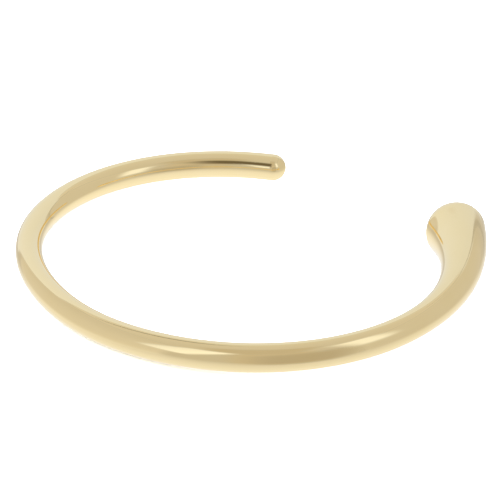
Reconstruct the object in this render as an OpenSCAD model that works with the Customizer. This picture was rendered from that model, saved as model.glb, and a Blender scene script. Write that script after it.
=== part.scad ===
// Open bangle: one solid bar bent round the wrist on an oval route.
// One end is plain and rounded over, the other swells into a drop.
// The piece lies as it would by itself on a level floor: on the drop and on the far side of the bar,
// so its plane leans by a couple of degrees. +Z is up, the gap looks to +Y and the drop is at +X.
// The origin is under the middle of the piece, on the floor. Sizes are in millimetres.

/* [Route] */
// clear length inside the oval, left to right
inside_length = 60; // [54:0.5:68]
// clear width inside the oval, from the gap side to the far side
inside_width = 51; // [45:0.5:58]
// direction from the middle to where the plain end starts to round over, in degrees from +X
plain_end_angle = 123.5; // [115:0.1:135]
// direction from the middle to where the drop starts to round over, in degrees from +X after a full turn
drop_end_angle = 414; // [408:0.5:418]
// direction from which the bar opens out from the oval towards the drop
opening_from = 260; // [240:5:300]
// how far the bar stands out from the oval where the drop starts to round over
opening_out = 3.8; // [0:0.1:6]
// direction in whose middle the far side of the oval is a little flatter
flatter_at = 240; // [220:5:260]
// how far to either side of it, in degrees, the flatter stretch reaches
flatter_reach = 40; // [20:5:60]
// how much nearer the bar is there
flatter_by = 0.4; // [0:0.1:1]

/* [Bar] */
// width of the bar, across the wrist wall
bar_width = 3.9; // [3:0.1:5]
// height of the bar, along the forearm
bar_height = 4.1; // [3:0.1:5.2]
// length over which the plain end rounds over
plain_round = 2; // [1:0.1:4]

/* [Drop] */
// direction from which the bar swells into the drop, in degrees from +X
drop_from = 360; // [345:5:380]
// width of the drop where its end starts to round over
drop_width = 8.8; // [7:0.1:10]
// height of the drop there
drop_height = 8.9; // [7:0.1:10]
// length over which the drop's end rounds over
drop_round = 3.8; // [2:0.1:6]

/* [Facets] */
// steps along the route
steps_along = 120; // [60:1:140]
// steps round the bar
steps_round = 36; // [16:4:40]
// steps over each rounded end
steps_end = 9; // [4:1:10]

/* [Hidden] */
// half lengths of the oval that the middle of the bar follows
half_long = (inside_length + bar_width) / 2;
half_short = (inside_width + bar_width) / 2;

// how the bar leaves the oval, and how it swells: as a power of the share of the way to the drop's end
OPENING_POWER = 2.5;
DROP_POWER = 2;
// how far to either side of a place, in degrees, the bar's direction there is taken from
LOOK_ASIDE = 0.2;

// share of the way from a direction to the drop's end, nothing before that direction
function way(angle, from) = max(0, (angle - from) / (drop_end_angle - from));
// how far the bar stands out from the oval
function opening(angle) = opening_out * pow(way(angle, opening_from), OPENING_POWER);
// how much nearer it is along the flatter stretch, which fades out to either side
function flattening(angle) =
    let (off = abs(angle - flatter_at) / flatter_reach)
    off < 1 ? flatter_by * pow(cos(90 * off), 2) : 0;
// how much of the drop's full size is there
function drop_share(angle) = pow(way(angle, drop_from), DROP_POWER);

// distance from the middle to the oval
function oval(angle) = 1 / sqrt(pow(cos(angle) / half_long, 2) + pow(sin(angle) / half_short, 2));
function route(angle) =
    (oval(angle) + opening(angle) - flattening(angle)) * [cos(angle), sin(angle)];
function unit(v) = v / norm(v);
function along(angle) = unit(route(angle + LOOK_ASIDE) - route(angle - LOOK_ASIDE));
function half_width(angle) = (bar_width + (drop_width - bar_width) * drop_share(angle)) / 2;
function half_height(angle) = (bar_height + (drop_height - bar_height) * drop_share(angle)) / 2;

// columns of a station: middle of the section, unit vector along the bar, half width, half height
MIDDLE = 0;
ALONG = 1;
HALF_WIDTH = 2;
HALF_HEIGHT = 3;
function station(angle, past, share) = [
    route(angle) + past * along(angle),
    along(angle),
    share * half_width(angle),
    share * half_height(angle)
];
plain_stations = [
    for (i = [steps_end - 1:-1:1])
        let (t = 90 * i / steps_end)
        station(plain_end_angle, -plain_round * sin(t), cos(t))
];
bar_stations = [
    for (i = [0:steps_along])
        station(plain_end_angle + (drop_end_angle - plain_end_angle) * i / steps_along, 0, 1)
];
drop_stations = [
    for (i = [1:steps_end - 1])
        let (t = 90 * i / steps_end)
        station(drop_end_angle, drop_round * sin(t), cos(t))
];
stations = concat(plain_stations, bar_stations, drop_stations);
rings = len(stations);

// points of the piece with its own plane level
function ring(s) = [
    for (j = [0:steps_round - 1])
        let (t = 360 * j / steps_round, out = [s[ALONG][1], -s[ALONG][0]])
        [
            s[MIDDLE][0] + s[HALF_WIDTH] * cos(t) * out[0],
            s[MIDDLE][1] + s[HALF_WIDTH] * cos(t) * out[1],
            s[HALF_HEIGHT] * sin(t)
        ]
];
plain_tip = route(plain_end_angle) - plain_round * along(plain_end_angle);
drop_tip = route(drop_end_angle) + drop_round * along(drop_end_angle);
level_points = concat(
    [for (s = stations) each ring(s)],
    [[plain_tip[0], plain_tip[1], 0], [drop_tip[0], drop_tip[1], 0]]
);

// how it lies by itself: on the fullest place of the drop, and where the line from there
// through the middle of the weight meets the far side of the bar
function total(v) = v * [for (x = v) 1];
slices = [
    for (i = [0:rings - 2])
        let (a = stations[i], b = stations[i + 1])
        [
            (a[MIDDLE] + b[MIDDLE]) / 2,
            norm(b[MIDDLE] - a[MIDDLE]) * (a[HALF_WIDTH] * a[HALF_HEIGHT] + b[HALF_WIDTH] * b[HALF_HEIGHT])
        ]
];
weight = total([for (s = slices) s[1]]);
weight_middle = [
    total([for (s = slices) s[0][0] * s[1]]) / weight,
    total([for (s = slices) s[0][1] * s[1]]) / weight
];
function where_smallest(v) = search([min(v)], v)[0];
on_drop = stations[where_smallest([for (s = stations) -s[HALF_HEIGHT]])];
rest_line = unit(weight_middle - on_drop[MIDDLE]);
// distance from that line, or more than any where it's on the drop's side of the weight
OUT_OF_REACH = 1000;
function beside(p) =
    rest_line * (p - weight_middle) > 0 ? abs(cross(rest_line, p - on_drop[MIDDLE])) : OUT_OF_REACH;
on_bar = stations[where_smallest([for (s = stations) beside(s[MIDDLE])])];
lean_towards = [-on_bar[ALONG][1], on_bar[ALONG][0]];
lean_length = (on_drop[MIDDLE] - on_bar[MIDDLE]) * lean_towards;
rest_tilt = asin((on_drop[HALF_HEIGHT] - on_bar[HALF_HEIGHT]) / lean_length);

// lean the piece so that its plane rises towards lean_towards
function lean(p) =
    let (
        ahead = p[0] * lean_towards[0] + p[1] * lean_towards[1],
        side = p[1] * lean_towards[0] - p[0] * lean_towards[1],
        reach = ahead * cos(rest_tilt) - p[2] * sin(rest_tilt)
    )
    [
        reach * lean_towards[0] - side * lean_towards[1],
        reach * lean_towards[1] + side * lean_towards[0],
        ahead * sin(rest_tilt) + p[2] * cos(rest_tilt)
    ];
leaning_points = [for (p = level_points) lean(p)];
xs = [for (p = leaning_points) p[0]];
ys = [for (p = leaning_points) p[1]];
zs = [for (p = leaning_points) p[2]];
base = [(min(xs) + max(xs)) / 2, (min(ys) + max(ys)) / 2, min(zs)];
points = [for (p = leaning_points) p - base];

function corner(i, j) = i * steps_round + (j % steps_round);
plain_pole = rings * steps_round;
drop_pole = plain_pole + 1;
side_faces = [
    for (i = [0:rings - 2], j = [0:steps_round - 1])
        each [
            [corner(i, j), corner(i, j + 1), corner(i + 1, j + 1)],
            [corner(i, j), corner(i + 1, j + 1), corner(i + 1, j)]
        ]
];
plain_faces = [for (j = [0:steps_round - 1]) [plain_pole, corner(0, j + 1), corner(0, j)]];
drop_faces = [for (j = [0:steps_round - 1]) [drop_pole, corner(rings - 1, j), corner(rings - 1, j + 1)]];

// the whole bangle, one solid
module bangle() {
    color([0.89, 0.78, 0.52])
        polyhedron(points = points, faces = concat(side_faces, plain_faces, drop_faces), convexity = 6);
}

bangle();
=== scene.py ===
# Open bangle of polished yellow gold with one drop-shaped end, lying by itself in a light tent.
# Its sizes are in millimetres, as a goldsmith gives them, and become metres where the mesh is made.
import math

import bpy
from mathutils import Matrix, Vector


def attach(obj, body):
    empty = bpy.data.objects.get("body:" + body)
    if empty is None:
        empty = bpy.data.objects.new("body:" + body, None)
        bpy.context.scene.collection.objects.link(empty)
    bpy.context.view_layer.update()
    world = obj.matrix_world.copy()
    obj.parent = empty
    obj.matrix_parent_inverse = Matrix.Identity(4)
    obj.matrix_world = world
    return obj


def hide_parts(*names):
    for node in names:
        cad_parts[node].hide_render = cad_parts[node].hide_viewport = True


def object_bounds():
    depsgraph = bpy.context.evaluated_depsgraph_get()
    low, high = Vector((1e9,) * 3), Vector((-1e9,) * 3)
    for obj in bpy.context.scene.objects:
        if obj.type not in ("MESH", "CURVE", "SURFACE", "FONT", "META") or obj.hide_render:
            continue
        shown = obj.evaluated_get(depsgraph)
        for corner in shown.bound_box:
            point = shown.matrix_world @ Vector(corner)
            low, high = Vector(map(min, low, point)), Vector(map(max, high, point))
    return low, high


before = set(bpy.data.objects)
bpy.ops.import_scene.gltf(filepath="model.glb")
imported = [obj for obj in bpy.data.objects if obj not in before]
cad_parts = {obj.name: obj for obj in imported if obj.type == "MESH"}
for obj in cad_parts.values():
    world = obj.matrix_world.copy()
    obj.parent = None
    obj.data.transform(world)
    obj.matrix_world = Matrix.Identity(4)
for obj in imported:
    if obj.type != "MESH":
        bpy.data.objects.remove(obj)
solid_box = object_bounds()

MM = 0.001

# route of the bar: an oval, open between the two ends
INSIDE_LENGTH = 60.0
INSIDE_WIDTH = 51.0
PLAIN_END_ANGLE = 123.5
DROP_END_ANGLE = 414.0

# towards the drop the bar opens out from the oval, and its far side is a little flatter
OPENING_FROM = 260.0
OPENING_OUT = 3.8
OPENING_POWER = 2.5
FLATTER_AT = 240.0
FLATTER_REACH = 40.0
FLATTER_BY = 0.4

# section of the bar and of the drop, and how far each end rounds over
BAR_WIDTH = 3.9
BAR_HEIGHT = 4.1
PLAIN_ROUND = 2.0
DROP_FROM = 360.0
DROP_WIDTH = 8.8
DROP_HEIGHT = 8.9
DROP_POWER = 2.0
DROP_ROUND = 3.8

# how the bangle lies by itself, on the drop's fullest place and on the far side of the bar:
# its plane rises by this angle towards this direction, in degrees
REST_TILT = 2.37
REST_TOWARDS = 74.7

# how finely the bangle is modelled before it is smoothed: corners round a ring, and the steps
# between rings in degrees, along the bar and over each end, whose first ring is next to its tip
CORNERS_ROUND = 32
BAR_STEP = 3.0
END_STEP = 9.0
TIP_RING = 84.0

# how far to either side of a place, in degrees, the bar's heading there is taken from
LOOK_ASIDE = 0.2

# smoothing keeps this share of a ring's corner where it is, and takes the rest from its neighbours
SMOOTHING_LEVELS = 2
SMOOTHING_KEEPS = 2 / 3


def way(direction, start):
    """Share of the way from a direction to the drop's end."""
    return max(0.0, (direction - start) / (DROP_END_ANGLE - start))


def flattening(direction):
    """How much nearer the bar is along its flatter stretch, in millimetres."""
    off = min(1.0, abs(direction - FLATTER_AT) / FLATTER_REACH)
    return FLATTER_BY * math.cos(math.pi / 2 * off) ** 2


def route(direction):
    """Middle of the bar at a direction from the middle of the oval, in millimetres."""
    angle = math.radians(direction)
    long_half = (INSIDE_LENGTH + BAR_WIDTH) / 2
    short_half = (INSIDE_WIDTH + BAR_WIDTH) / 2
    oval = 1 / math.hypot(math.cos(angle) / long_half, math.sin(angle) / short_half)
    opening = OPENING_OUT * way(direction, OPENING_FROM) ** OPENING_POWER
    reach = oval + opening - flattening(direction)
    return Vector((reach * math.cos(angle), reach * math.sin(angle), 0))


def station(direction, past=0.0, share=1.0):
    """One section of the bar: its middle, its heading, half its width and half its height."""
    heading = (route(direction + LOOK_ASIDE) - route(direction - LOOK_ASIDE)).normalized()
    drop_share = way(direction, DROP_FROM) ** DROP_POWER
    return {
        "middle": route(direction) + past * heading,
        "heading": math.atan2(heading.y, heading.x),
        "across": share * (BAR_WIDTH + (DROP_WIDTH - BAR_WIDTH) * drop_share) / 2,
        "up": share * (BAR_HEIGHT + (DROP_HEIGHT - BAR_HEIGHT) * drop_share) / 2,
    }


def end_angles():
    """Angles round an end's quarter turn, from next to the tip to next to the bar."""
    angles = [TIP_RING]
    while angles[-1] > END_STEP:
        angles.append(angles[-1] - END_STEP)
    return [math.radians(angle) for angle in angles]


def stations():
    """All sections from the plain end to the drop end."""
    count = round((DROP_END_ANGLE - PLAIN_END_ANGLE) / BAR_STEP)
    plain = [
        station(PLAIN_END_ANGLE, -PLAIN_ROUND * math.sin(angle), math.cos(angle))
        for angle in end_angles()
    ]
    bar = [
        station(PLAIN_END_ANGLE + (DROP_END_ANGLE - PLAIN_END_ANGLE) * i / count)
        for i in range(count + 1)
    ]
    drop = [
        station(DROP_END_ANGLE, DROP_ROUND * math.sin(angle), math.cos(angle))
        for angle in reversed(end_angles())
    ]
    return plain + bar + drop


def along(heading):
    """Unit vector in the bangle's own plane at a heading."""
    return Vector((math.cos(heading), math.sin(heading), 0))


def turn(angle, axis, about):
    """Turns what is selected counter-clockwise, seen from the axis's tip."""
    # without a window the operator takes its angle the other way round
    bpy.ops.transform.rotate(value=-angle, orient_axis=axis, center_override=about)


def pull_corner(place, offset):
    """Moves the one corner nearest to a place, in edit mode."""
    bpy.ops.object.mode_set(mode="OBJECT")
    mesh = bpy.context.object.data
    for group in (mesh.polygons, mesh.edges, mesh.vertices):
        group.foreach_set("select", [False] * len(group))
    min(mesh.vertices, key=lambda corner: (corner.co - place).length).select = True
    bpy.ops.object.mode_set(mode="EDIT")
    bpy.ops.mesh.select_mode(type="VERT")
    bpy.ops.transform.translate(value=offset)


def model_bangle():
    """The whole bangle: a small disc at the plain tip, drawn out ring by ring to the drop's tip."""
    rings = stations()
    first, last = rings[0], rings[-1]
    # smoothing draws each corner in towards the middle of its two neighbours, which is at this
    # share of the ring's radius, so the first ring starts larger by that much
    between_neighbours = math.cos(2 * math.pi / CORNERS_ROUND)
    kept_share = SMOOTHING_KEEPS + (1 - SMOOTHING_KEEPS) * between_neighbours
    bpy.ops.object.select_all(action="DESELECT")
    bpy.ops.mesh.primitive_circle_add(
        vertices=CORNERS_ROUND,
        radius=first["across"] * MM / kept_share,
        fill_type="TRIFAN",
        location=first["middle"] * MM,
        rotation=(math.pi / 2, 0, first["heading"] - math.pi / 2),
    )
    piece = bpy.context.object
    piece.name = piece.data.name = "gold_bangle"
    bpy.ops.object.transform_apply(location=True, rotation=True, scale=True)
    bpy.ops.object.mode_set(mode="EDIT")
    bpy.ops.mesh.select_mode(type="FACE")
    bpy.ops.mesh.select_all(action="SELECT")
    bpy.ops.transform.resize(
        value=(1, 1, first["up"] / first["across"]), center_override=first["middle"] * MM
    )
    for before, ring in zip(rings, rings[1:]):
        middle = ring["middle"] * MM
        wider = ring["across"] / before["across"]
        higher = ring["up"] / before["up"]
        bend = math.remainder(ring["heading"] - before["heading"], 2 * math.pi)
        step = middle - before["middle"] * MM
        bpy.ops.mesh.extrude_region_move(TRANSFORM_OT_translate={"value": step})
        turn(bend, "Z", middle)
        bpy.ops.transform.resize(value=(wider, wider, higher), center_override=middle)
    tip_share = 1 - math.sin(math.radians(TIP_RING))
    pull_corner(first["middle"] * MM, -PLAIN_ROUND * tip_share * MM * along(first["heading"]))
    pull_corner(last["middle"] * MM, DROP_ROUND * tip_share * MM * along(last["heading"]))
    bpy.ops.mesh.select_all(action="SELECT")
    bpy.ops.mesh.normals_make_consistent(inside=False)
    lay_down()
    bpy.ops.object.mode_set(mode="OBJECT")
    smooth(piece)
    settle(piece)
    return piece


def lay_down():
    """Leans all that is selected from its own level plane to how it lies by itself."""
    middle = (0, 0, 0)
    towards = math.radians(REST_TOWARDS)
    turn(-towards, "Z", middle)
    turn(-math.radians(REST_TILT), "Y", middle)
    turn(towards, "Z", middle)


def smooth(piece):
    """Turns the cage of rings into the smooth body."""
    modifier = piece.modifiers.new("smooth_body", "SUBSURF")
    modifier.levels = modifier.render_levels = SMOOTHING_LEVELS
    bpy.ops.object.modifier_apply(modifier=modifier.name)
    bpy.ops.object.shade_smooth()


def settle(piece):
    """Sets the piece down on the floor, over the middle of its solid."""
    low = Vector(map(min, *(corner.co for corner in piece.data.vertices)))
    high = Vector(map(max, *(corner.co for corner in piece.data.vertices)))
    solid_low, solid_high = solid_box
    bpy.ops.transform.translate(
        value=(
            (solid_low.x + solid_high.x - low.x - high.x) / 2,
            (solid_low.y + solid_high.y - low.y - high.y) / 2,
            solid_low.z - low.z,
        )
    )
    bpy.ops.object.transform_apply(location=True, rotation=True, scale=True)


# camera: where it looks, from which side and how far off, to match the photograph's frame
LOOK_AT = (0.03, 2.12, 3.18)
VIEW_SIDE = 45.44
VIEW_HEIGHT = 26.44
VIEW_DISTANCE = 430.0
LENS = 215.4
SENSOR = 36.0
NEAREST_SEEN_M = 0.01


def towards_side(side, height):
    """Unit vector towards a side, counter-clockwise from the front, and a height, in degrees."""
    around = math.radians(side)
    above = math.radians(height)
    return Vector((
        math.sin(around) * math.cos(above),
        -math.cos(around) * math.cos(above),
        math.sin(above),
    ))


def place_camera():
    """Puts the camera where the photograph was taken from."""
    bpy.ops.object.camera_add()
    camera = bpy.context.object
    camera.name = "camera"
    back = towards_side(VIEW_SIDE, VIEW_HEIGHT)
    camera.location = (Vector(LOOK_AT) + VIEW_DISTANCE * back) * MM
    camera.rotation_euler = back.to_track_quat("Z", "Y").to_euler()
    camera.data.lens = LENS
    camera.data.sensor_width = SENSOR
    camera.data.clip_start = NEAREST_SEEN_M
    bpy.context.scene.camera = camera


# colour of the gold and its roughness at best and at worst, which vary a little over it
GOLD_DEEP = (0.99, 0.79, 0.42, 1)
GOLD_PALE = (1.0, 0.81, 0.46, 1)
GLOSS_BEST = 0.04
GLOSS_WORST = 0.1
CLOUDS_PER_M = 220.0
CLOUD_DETAIL = 2.0

# fine lines of the buffing wheel: the pattern's levels between which the gloss goes from best to
# worst, how far the pattern is drawn out along the bar, in millimetres for each radian of the way
# round, and how deep the lines are, in millimetres
BUFF_LINES_PER_M = 9000.0
BUFF_LINE_DETAIL = 3.0
BUFF_LINE_HARSHNESS = 0.6
BUFF_LINE_LOW = 0.3
BUFF_LINE_HIGH = 0.7
BUFF_LINE_SPREAD = 2.0
BUFF_LINE_DEPTH = 0.0005

# faint waves that the wheel leaves, and how deep they are, in millimetres
WAVES_PER_M = 130.0
WAVE_DETAIL = 1.0
WAVE_DEPTH = 0.002

# floor board
BOARD_DULL = (0.88, 0.88, 0.88, 1)
BOARD_WHITE = (0.92, 0.92, 0.92, 1)
BOARD_GRAINS_PER_M = 900.0
BOARD_GRAIN_DETAIL = 2.0
BOARD_ROUGHNESS = 0.9
BOARD_SHINE = 0.1
BOARD_SIZE_M = 6.0

# how bright the tent's cloth is on the floor, and in the metal
CLOTH_ON_FLOOR = 4.0
CLOTH_IN_METAL = 0.6

# sockets of the Mix node where it mixes two colours
MIX_FIRST = 6
MIX_SECOND = 7
MIX_RESULT = 2


def new_shading(tree):
    """Clears a node tree and gives a helper that adds a node with its inputs, joined or set."""
    tree.nodes.clear()

    def node(kind, inputs, **settings):
        made = tree.nodes.new(kind)
        for key, value in settings.items():
            setattr(made, key, value)
        for socket, value in inputs.items():
            if isinstance(value, bpy.types.NodeSocket):
                tree.links.new(value, made.inputs[socket])
            else:
                made.inputs[socket].default_value = value
        return made

    return node


def new_material(name):
    """An empty material, and the helper that adds its nodes."""
    material = bpy.data.materials.new(name)
    material.use_nodes = True
    return material, new_shading(material.node_tree)


def along_the_bar(node, place):
    """Place measured along the bar: way round the oval, way out from its middle, and height."""
    split = node("ShaderNodeSeparateXYZ", {0: place})
    # measured from the side opposite the gap, so that the full turn's jump falls in the gap
    toward_back = node("ShaderNodeMath", {0: 0.0, 1: split.outputs["Y"]}, operation="SUBTRACT")
    way_round = node(
        "ShaderNodeMath", {0: split.outputs["X"], 1: toward_back.outputs[0]}, operation="ARCTAN2"
    )
    level = node("ShaderNodeVectorMath", {0: place, 1: (1, 1, 0)}, operation="MULTIPLY")
    way_out = node("ShaderNodeVectorMath", {0: level.outputs["Vector"]}, operation="LENGTH")
    drawn_out = node(
        "ShaderNodeMath", {0: way_round.outputs[0], 1: BUFF_LINE_SPREAD * MM}, operation="MULTIPLY"
    )
    return node(
        "ShaderNodeCombineXYZ",
        {"X": drawn_out.outputs[0], "Y": way_out.outputs["Value"], "Z": split.outputs["Z"]},
    ).outputs[0]


def polished_gold():
    """Yellow gold from the buffing wheel: faint waves, fine lines and a slightly uneven gloss."""
    material, node = new_material("polished_gold")
    place = node("ShaderNodeTexCoord", {}).outputs["Object"]
    lines = node(
        "ShaderNodeTexNoise",
        {
            "Vector": along_the_bar(node, place),
            "Scale": BUFF_LINES_PER_M,
            "Detail": BUFF_LINE_DETAIL,
            "Roughness": BUFF_LINE_HARSHNESS,
        },
    )
    waves = node(
        "ShaderNodeTexNoise", {"Vector": place, "Scale": WAVES_PER_M, "Detail": WAVE_DETAIL}
    )
    clouds = node(
        "ShaderNodeTexNoise", {"Vector": place, "Scale": CLOUDS_PER_M, "Detail": CLOUD_DETAIL}
    )
    tone = node(
        "ShaderNodeMix",
        {"Factor": clouds.outputs["Fac"], MIX_FIRST: GOLD_DEEP, MIX_SECOND: GOLD_PALE},
        data_type="RGBA",
    )
    gloss = node(
        "ShaderNodeMapRange",
        {
            "Value": lines.outputs["Fac"],
            "From Min": BUFF_LINE_LOW,
            "From Max": BUFF_LINE_HIGH,
            "To Min": GLOSS_BEST,
            "To Max": GLOSS_WORST,
        },
    )
    wavy = node(
        "ShaderNodeBump",
        {"Height": waves.outputs["Fac"], "Strength": 1.0, "Distance": WAVE_DEPTH * MM},
    )
    lined = node(
        "ShaderNodeBump",
        {
            "Height": lines.outputs["Fac"],
            "Strength": 1.0,
            "Distance": BUFF_LINE_DEPTH * MM,
            "Normal": wavy.outputs["Normal"],
        },
    )
    shader = node(
        "ShaderNodeBsdfPrincipled",
        {
            "Base Color": tone.outputs[MIX_RESULT],
            "Metallic": 1.0,
            "Roughness": gloss.outputs["Result"],
            "Normal": lined.outputs["Normal"],
        },
    )
    node("ShaderNodeOutputMaterial", {"Surface": shader.outputs[0]})
    return material


def white_board():
    """Matt white floor board with a very fine grain."""
    material, node = new_material("white_board")
    place = node("ShaderNodeTexCoord", {}).outputs["Object"]
    grain = node(
        "ShaderNodeTexNoise",
        {"Vector": place, "Scale": BOARD_GRAINS_PER_M, "Detail": BOARD_GRAIN_DETAIL},
    )
    tone = node(
        "ShaderNodeMix",
        {"Factor": grain.outputs["Fac"], MIX_FIRST: BOARD_DULL, MIX_SECOND: BOARD_WHITE},
        data_type="RGBA",
    )
    shader = node(
        "ShaderNodeBsdfPrincipled",
        {
            "Base Color": tone.outputs[MIX_RESULT],
            "Roughness": BOARD_ROUGHNESS,
            "Specular IOR Level": BOARD_SHINE,
        },
    )
    node("ShaderNodeOutputMaterial", {"Surface": shader.outputs[0]})
    return material


def lay_floor():
    """A plain board under the bangle, which doesn't show in the metal."""
    bpy.ops.mesh.primitive_plane_add(size=BOARD_SIZE_M)
    floor = bpy.context.object
    floor.name = "floor"
    floor.data.materials.append(white_board())
    floor.visible_glossy = False


def put_up_tent():
    """White cloth all round: full on the floor, dimmer in the metal between the panels."""
    world = bpy.data.worlds.new("tent_cloth")
    world.use_nodes = True
    node = new_shading(world.node_tree)
    in_metal = node("ShaderNodeLightPath", {}).outputs["Is Glossy Ray"]
    strength = node(
        "ShaderNodeMapRange",
        {"Value": in_metal, "To Min": CLOTH_ON_FLOOR, "To Max": CLOTH_IN_METAL},
    )
    cloth = node(
        "ShaderNodeBackground", {"Color": (1, 1, 1, 1), "Strength": strength.outputs["Result"]}
    )
    node("ShaderNodeOutputWorld", {"Surface": cloth.outputs[0]})
    bpy.context.scene.world = world
    bpy.context.scene.view_settings.view_transform = "Standard"


# the tent's panels, which show only in the polished metal. azimuth goes from the camera's side
# towards its right, distance and sizes are in millimetres, and turned and tipped are away from
# facing the bangle. edge is how softly a panel fades, and the rises say how much stronger it gets
# towards its right and its upper edge. cool tints it blue, and below nothing yellow
PANEL_COLUMNS = (
    "name", "azimuth", "height", "distance", "rolled", "half_wide", "half_high", "edge",
    "strength", "rise_across", "rise_up", "cool", "turned", "tipped",
)
PANELS = [
    ("table", 0, -90, 60, 0, 150, 150, 150, 0.95, 0, -0.2, 0.1, 0, 0),
    ("ceiling", 0, 90, 260, 0, 300, 300, 60, 0.65, 0, 0.1, 0, 0, 0),
    ("left_wall", -90, 10, 220, 0, 220, 200, 30, 0.7, 0, -0.1, 0, 0, 0),
    ("right_wall", 90, 10, 220, 0, 220, 200, 30, 0.65, 0, 0, 0, 0, 0),
    ("open_side", 0, 10, 240, 0, 80, 200, 30, 0.6, 0, 0, -0.15, 0, 0),
    ("open_top", -10, 60, 200, 0, 60, 60, 20, 0.57, 0, 0, -0.15, 0, 0),
    ("back_wall", -177, 20, 200, 0, 170, 110, 10, 0.8, 0.05, 0, 0.2, 0, 0),
    ("wall_gap", 138, 25, 210, 0, 3, 140, 2, 0.5, 0, 0, 0, 0, -25),
    ("left_box", -40, 30, 180, -20, 35, 60, 15, 1.0, 0.1, 0, 0.2, 0, 0),
    ("right_box", 50, 40, 120, 0, 20, 40, 15, 1.0, 0, 0, 0.2, 0, -20),
    ("dark_card", -70, 57, 40, 0, 15, 12, 8, 0.15, 0, 0, -0.4, 50, -35),
    ("near_card", 15, 5, 75, 0, 25, 30, 15, 0.5, 0, 0, -0.15, 0, 0),
]

# how much of a panel's tint its green takes, and how much of its edge it fades over
GREEN_SHARE_OF_COOL = 0.35
FADE_SHARE_OF_EDGE = 0.9


def soft_panel_group():
    """Node group of a panel's light: how much it covers at a place, and how strong it is there."""
    group = bpy.data.node_groups.new("soft_panel", "ShaderNodeTree")
    sockets = (
        "Half Wide", "Half High", "Fade Wide", "Fade High", "Strength", "Rise Across", "Rise Up",
    )
    for name in sockets:
        group.interface.new_socket(name, in_out="INPUT", socket_type="NodeSocketFloat")
    for name in ("Cover", "Light"):
        group.interface.new_socket(name, in_out="OUTPUT", socket_type="NodeSocketFloat")
    node = new_shading(group)
    given = node("NodeGroupInput", {}).outputs
    place = node("ShaderNodeTexCoord", {}).outputs["Object"]
    split = node("ShaderNodeSeparateXYZ", {0: place}).outputs
    fades = []
    level = 1.0
    for axis, half, fade, rise in (
        ("X", "Half Wide", "Fade Wide", "Rise Across"),
        ("Y", "Half High", "Fade High", "Rise Up"),
    ):
        share = node(
            "ShaderNodeMath", {0: split[axis], 1: given[half]}, operation="DIVIDE"
        ).outputs[0]
        size = node("ShaderNodeMath", {0: share}, operation="ABSOLUTE").outputs[0]
        inner = node("ShaderNodeMath", {0: 1.0, 1: given[fade]}, operation="SUBTRACT").outputs[0]
        outer = node("ShaderNodeMath", {0: 1.0, 1: given[fade]}, operation="ADD").outputs[0]
        fades.append(
            node(
                "ShaderNodeMapRange",
                {"Value": size, "From Min": inner, "From Max": outer, "To Min": 1.0, "To Max": 0.0},
                interpolation_type="SMOOTHSTEP",
            ).outputs["Result"]
        )
        level = node(
            "ShaderNodeMath", {0: share, 1: given[rise], 2: level}, operation="MULTIPLY_ADD"
        ).outputs[0]
    cover = node("ShaderNodeMath", {0: fades[0], 1: fades[1]}, operation="MULTIPLY").outputs[0]
    light = node(
        "ShaderNodeMath", {0: level, 1: given["Strength"]}, operation="MULTIPLY"
    ).outputs[0]
    node("NodeGroupOutput", {"Cover": cover, "Light": light})
    return group


def panel_light(panel, group):
    """Light of one panel: a soft-edged glow that shows only where the panel covers."""
    material, node = new_material(panel["name"] + "_light")
    soft = node(
        "ShaderNodeGroup",
        {
            "Half Wide": panel["half_wide"] * MM,
            "Half High": panel["half_high"] * MM,
            "Fade Wide": FADE_SHARE_OF_EDGE * panel["edge"] / panel["half_wide"],
            "Fade High": FADE_SHARE_OF_EDGE * panel["edge"] / panel["half_high"],
            "Strength": panel["strength"],
            "Rise Across": panel["rise_across"],
            "Rise Up": panel["rise_up"],
        },
        node_tree=group,
    )
    tint = (1, 1 + GREEN_SHARE_OF_COOL * panel["cool"], 1 + panel["cool"], 1)
    glow = node("ShaderNodeEmission", {"Color": tint, "Strength": soft.outputs["Light"]})
    clear = node("ShaderNodeBsdfTransparent", {})
    mixed = node(
        "ShaderNodeMixShader",
        {"Fac": soft.outputs["Cover"], 1: clear.outputs[0], 2: glow.outputs[0]},
    )
    node("ShaderNodeOutputMaterial", {"Surface": mixed.outputs[0]})
    # a panel only shows in the metal and lights nothing, so it isn't sampled as a lamp
    material.cycles.emission_sampling = "NONE"
    return material


def hang_panel(panel, group):
    """Hangs one panel of the tent: flat, facing the bangle unless it is turned or tipped."""
    side = VIEW_SIDE + panel["azimuth"]
    centre = towards_side(side, panel["height"]) * panel["distance"] * MM
    turned_side = side + panel["turned"]
    away = towards_side(turned_side, panel["height"] + panel["tipped"])
    level = along(math.radians(turned_side))
    upright = away.cross(level)
    roll = math.radians(panel["rolled"])
    across = level * math.cos(roll) + upright * math.sin(roll)
    up = upright * math.cos(roll) - level * math.sin(roll)
    bpy.ops.mesh.primitive_plane_add(size=1)
    made = bpy.context.object
    made.name = panel["name"]
    made.scale = (
        2 * (panel["half_wide"] + panel["edge"]) * MM,
        2 * (panel["half_high"] + panel["edge"]) * MM,
        1,
    )
    bpy.ops.object.transform_apply(location=False, rotation=False, scale=True)
    turned = Matrix((across, up, away)).transposed().to_4x4()
    made.matrix_world = Matrix.Translation(centre) @ turned
    made.data.materials.append(panel_light(panel, group))
    made.visible_camera = made.visible_diffuse = made.visible_shadow = False


bangle = model_bangle()
bangle.data.materials.append(polished_gold())
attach(bangle, "root")
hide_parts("bangle")

place_camera()
lay_floor()
put_up_tent()
soft_panel = soft_panel_group()
for row in PANELS:
    hang_panel(dict(zip(PANEL_COLUMNS, row)), soft_panel)
